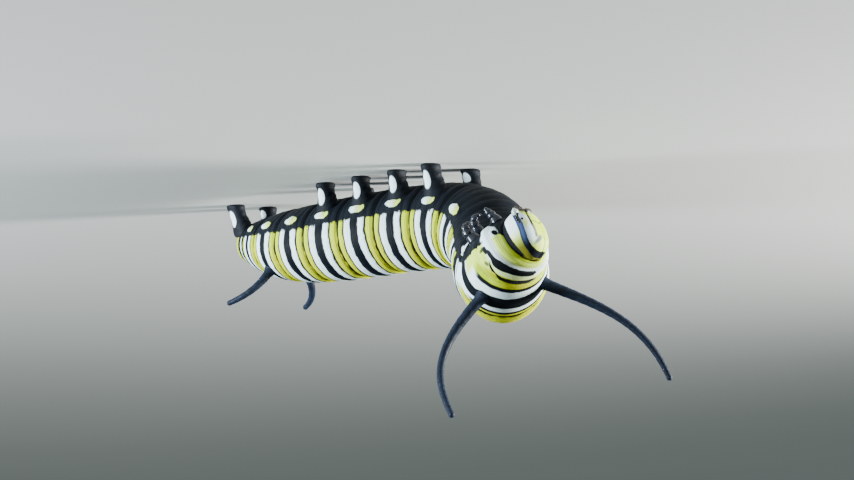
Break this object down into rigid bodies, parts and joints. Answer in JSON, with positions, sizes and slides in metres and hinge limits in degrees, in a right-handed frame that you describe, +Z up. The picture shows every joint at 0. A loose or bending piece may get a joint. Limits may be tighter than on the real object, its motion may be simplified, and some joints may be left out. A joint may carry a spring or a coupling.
{
  "type": "monarch larva",
  "caption": "Life-size banded larva at rest on its prolegs, front raised and turned aside, with long soft feelers at both ends",
  "frame": {"origin": "middle of the bounding box in plan, on the floor that the soles rest on", "axes": "+Z up; the rear half of the body lies along X with the head end towards +X, and +Y is the animal's left there"},
  "size_m": [0.0392, 0.0146, 0.0198],
  "materials": {
    "head": "hard, glossy horn banded black and pale yellow",
    "antenna_left": "hard, glossy horn banded black and pale yellow",
    "antenna_right": "hard, glossy horn banded black and pale yellow",
    "abdomen_10": "soft, thin, slightly shiny skin banded black, white and yellow",
    "abdomen_9": "soft, thin, slightly shiny skin banded black, white and yellow",
    "abdomen_8": "soft, thin, slightly shiny skin banded black, white and yellow",
    "abdomen_7": "soft, thin, slightly shiny skin banded black, white and yellow",
    "abdomen_6": "soft, thin, slightly shiny skin banded black, white and yellow",
    "abdomen_5": "soft, thin, slightly shiny skin banded black, white and yellow",
    "abdomen_4": "soft, thin, slightly shiny skin banded black, white and yellow",
    "abdomen_3": "soft, thin, slightly shiny skin banded black, white and yellow",
    "abdomen_2": "soft, thin, slightly shiny skin banded black, white and yellow",
    "abdomen_1": "soft, thin, slightly shiny skin banded black, white and yellow",
    "thorax_3": "soft, thin, slightly shiny skin banded black, white and yellow",
    "thorax_2": "soft, thin, slightly shiny skin banded black, white and yellow",
    "thorax_1": "soft, thin, slightly shiny skin banded black, white and yellow",
    "leg_1_left": "hard, glossy black horn",
    "leg_1_right": "hard, glossy black horn",
    "leg_2_left": "hard, glossy black horn",
    "leg_2_right": "hard, glossy black horn",
    "leg_3_left": "hard, glossy black horn",
    "leg_3_right": "hard, glossy black horn",
    "proleg_3_left": "soft black skin with a pale patch",
    "proleg_3_right": "soft black skin with a pale patch",
    "proleg_4_left": "soft black skin with a pale patch",
    "proleg_4_right": "soft black skin with a pale patch",
    "proleg_5_left": "soft black skin with a pale patch",
    "proleg_5_right": "soft black skin with a pale patch",
    "proleg_6_left": "soft black skin with a pale patch",
    "proleg_6_right": "soft black skin with a pale patch",
    "anal_proleg_left": "soft black skin with a pale patch",
    "anal_proleg_right": "soft black skin with a pale patch",
    "front_tentacle_left_base": "soft black skin with a blue-grey sheen",
    "front_tentacle_left_tip": "soft black skin with a blue-grey sheen",
    "front_tentacle_right_base": "soft black skin with a blue-grey sheen",
    "front_tentacle_right_tip": "soft black skin with a blue-grey sheen",
    "rear_tentacle_left": "soft black skin with a blue-grey sheen",
    "rear_tentacle_right": "soft black skin with a blue-grey sheen"
  },
  "bodies": {
    "root": {"head": "head", "antenna_left": "antenna_left", "antenna_right": "antenna_right", "abdomen_10": "abdomen_10", "abdomen_9": "abdomen_9", "abdomen_8": "abdomen_8", "abdomen_7": "abdomen_7", "abdomen_6": "abdomen_6", "abdomen_5": "abdomen_5", "abdomen_4": "abdomen_4", "abdomen_3": "abdomen_3", "abdomen_2": "abdomen_2", "abdomen_1": "abdomen_1", "thorax_3": "thorax_3", "thorax_2": "thorax_2", "thorax_1": "thorax_1", "leg_1_left": "leg_1_left", "leg_1_right": "leg_1_right", "leg_2_left": "leg_2_left", "leg_2_right": "leg_2_right", "leg_3_left": "leg_3_left", "leg_3_right": "leg_3_right", "proleg_3_left": "proleg_3_left", "proleg_3_right": "proleg_3_right", "proleg_4_left": "proleg_4_left", "proleg_4_right": "proleg_4_right", "proleg_5_left": "proleg_5_left", "proleg_5_right": "proleg_5_right", "proleg_6_left": "proleg_6_left", "proleg_6_right": "proleg_6_right", "anal_proleg_left": "anal_proleg_left", "anal_proleg_right": "anal_proleg_right", "front_tentacle_left_base": "front_tentacle_left_base", "front_tentacle_left_tip": "front_tentacle_left_tip", "front_tentacle_right_base": "front_tentacle_right_base", "front_tentacle_right_tip": "front_tentacle_right_tip", "rear_tentacle_left": "rear_tentacle_left", "rear_tentacle_right": "rear_tentacle_right"}
  },
  "joints": []
}
